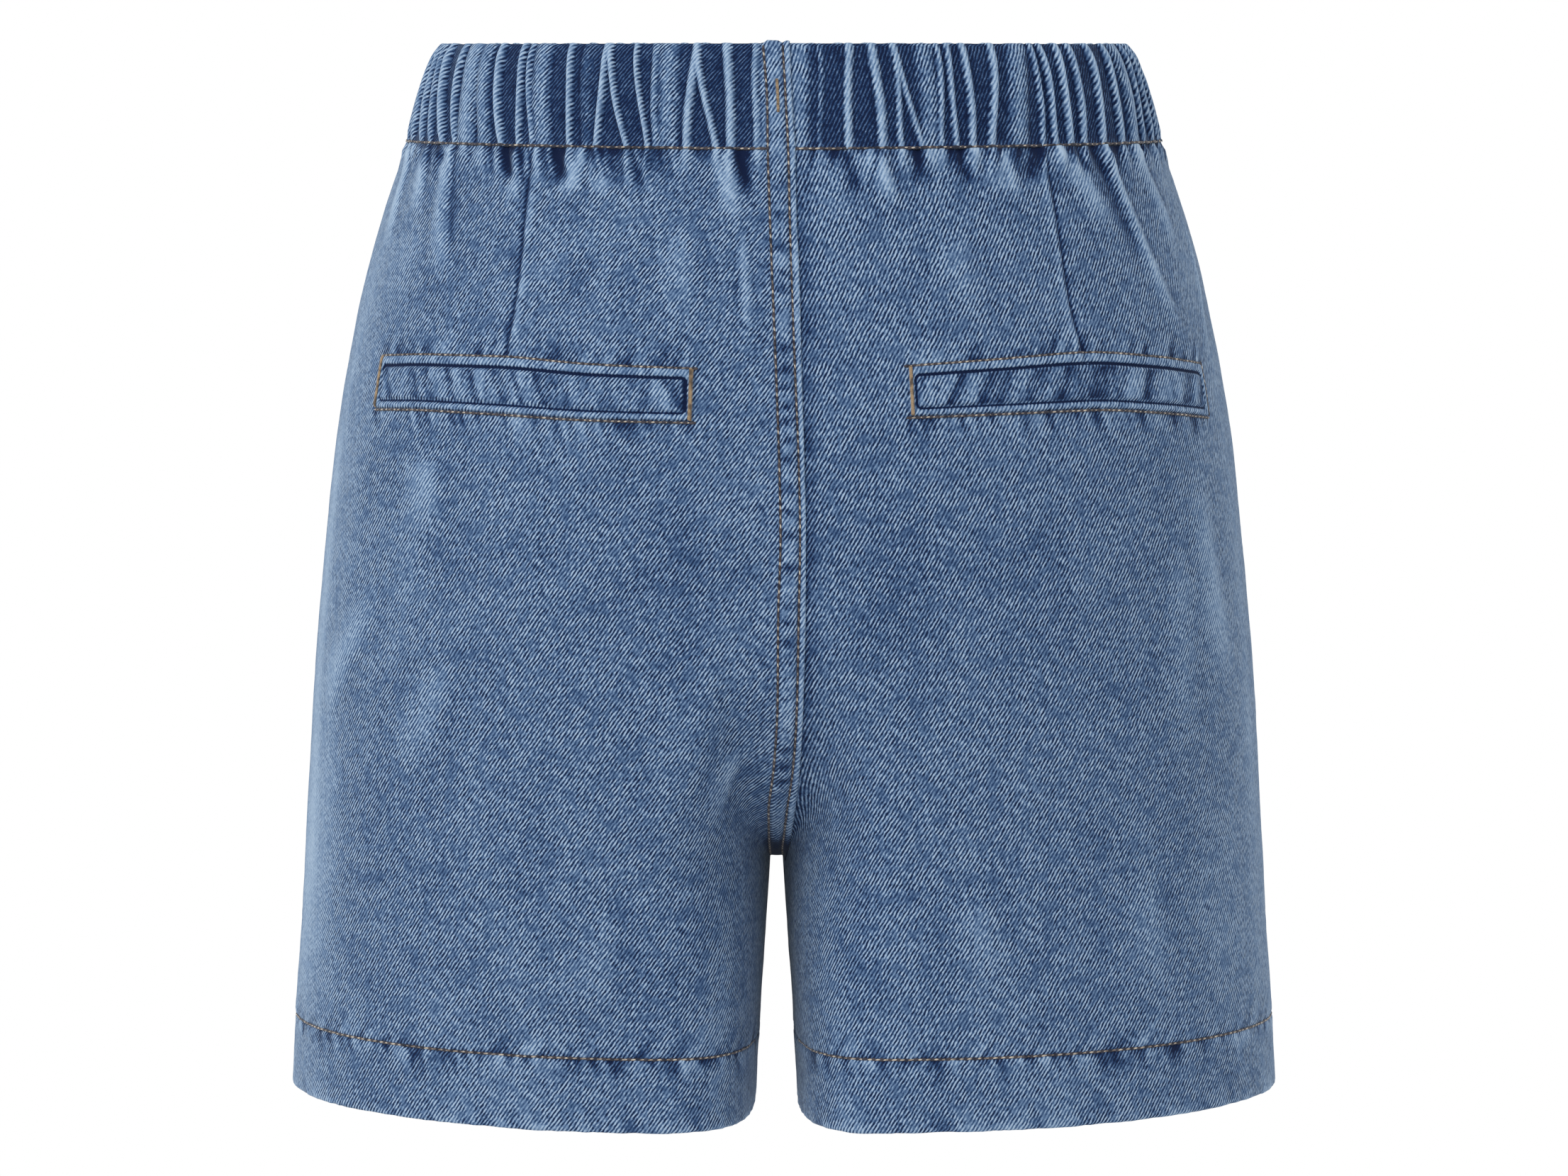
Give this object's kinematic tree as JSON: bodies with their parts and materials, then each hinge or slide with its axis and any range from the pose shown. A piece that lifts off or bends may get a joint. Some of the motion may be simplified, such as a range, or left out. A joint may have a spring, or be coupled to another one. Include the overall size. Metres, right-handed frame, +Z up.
{
  "type": "denim shorts",
  "caption": "Light-wash denim pull-on shorts, filled out as worn, with a gathered elastic waist, welt back pockets, a felled centre back seam and turned-up hems.",
  "frame": {"origin": "centre of the waist at mid height of the waistband, where the wearer holds it up", "axes": "+Z up, +X to the wearer's left, -Y to the wearer's front; the picture looks along -Y at the back"},
  "size_m": [0.365, 0.2287, 0.3894],
  "materials": {
    "denim": "light-wash indigo twill, worn pale on the folds",
    "gathered_denim": "light-wash indigo twill, gathered over elastic",
    "seam_denim": "light-wash indigo twill, roped along the stitching",
    "welt_denim": "indigo twill, less washed inside the pocket frame"
  },
  "bodies": {
    "root": {"back_panel_left": "denim", "back_panel_right": "denim", "front_panel_left": "denim", "front_panel_right": "denim", "waistband_back_left": "gathered_denim", "waistband_back_right": "gathered_denim", "waistband_front_left": "gathered_denim", "waistband_front_right": "gathered_denim", "centre_back_seam": "seam_denim", "pocket_welt_left": "welt_denim", "pocket_welt_right": "welt_denim"}
  },
  "joints": []
}
